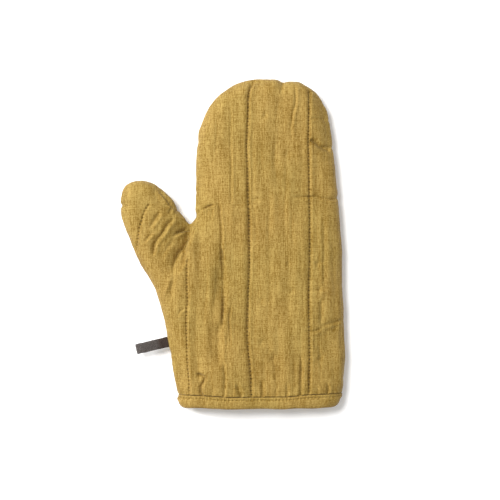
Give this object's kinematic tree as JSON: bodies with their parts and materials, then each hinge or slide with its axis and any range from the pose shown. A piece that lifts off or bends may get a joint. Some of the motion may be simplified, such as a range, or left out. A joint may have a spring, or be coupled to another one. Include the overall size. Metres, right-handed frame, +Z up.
{
  "type": "oven mitt",
  "caption": "Quilted linen oven mitt with a thumb, an open bound cuff and a folded hanging loop, lying flat on its back.",
  "frame": {"origin": "middle of the mitt's own box on the table surface that its back lies on", "axes": "+Y from the cuff to the fingertips, +X away from the thumb, +Z up from the table"},
  "size_m": [0.2038, 0.3001, 0.0281],
  "materials": {
    "cover_linen": "matte",
    "wadding": "matte",
    "lining_cotton": "matte",
    "thread": "matte",
    "loop_tape": "matte"
  },
  "bodies": {
    "hand": {"front_cover_hand": "cover_linen", "back_cover_hand": "cover_linen", "front_wadding_hand": "wadding", "back_wadding_hand": "wadding", "front_lining_hand": "lining_cotton", "back_lining_hand": "lining_cotton", "quilting_left_hand_front": "thread", "quilting_left_hand_back": "thread", "quilting_middle_hand_front": "thread", "quilting_middle_hand_back": "thread", "quilting_right_hand_front": "thread", "quilting_right_hand_back": "thread", "seam_thread_hand_left": "thread", "seam_thread_hand_right": "thread", "cuff_binding": "cover_linen", "binding_topstitch": "thread", "loop_tails": "loop_tape"},
    "fingers": {"front_cover_fingers": "cover_linen", "back_cover_fingers": "cover_linen", "front_wadding_fingers": "wadding", "back_wadding_fingers": "wadding", "front_lining_fingers": "lining_cotton", "back_lining_fingers": "lining_cotton", "quilting_middle_fingers_front": "thread", "quilting_middle_fingers_back": "thread", "quilting_right_fingers_front": "thread", "quilting_right_fingers_back": "thread", "seam_thread_fingers": "thread"},
    "thumb": {"front_cover_thumb": "cover_linen", "back_cover_thumb": "cover_linen", "front_wadding_thumb": "wadding", "back_wadding_thumb": "wadding", "front_lining_thumb": "lining_cotton", "back_lining_thumb": "lining_cotton", "quilting_thumb_front": "thread", "quilting_thumb_back": "thread", "seam_thread_thumb": "thread"},
    "loop": {"hanging_loop": "loop_tape"}
  },
  "joints": [
    {"name": "finger_fold", "type": "hinge", "parent": "hand", "child": "fingers", "pos_m": [0.032, 0.035, 0.0282], "axis": [1, 0, 0], "range_deg": [0, 75]},
    {"name": "thumb_fold", "type": "hinge", "parent": "hand", "child": "thumb", "pos_m": [-0.055, -0.01065, 0.0282], "axis": [0.4553, 0.8904, 0], "range_deg": [0, 60]},
    {"name": "loop_swing", "type": "hinge", "parent": "hand", "child": "loop", "pos_m": [-0.0582, -0.0896, 0.0134], "axis": [-0.227, 0.9739, 0], "range_deg": [0, 100]}
  ]
}
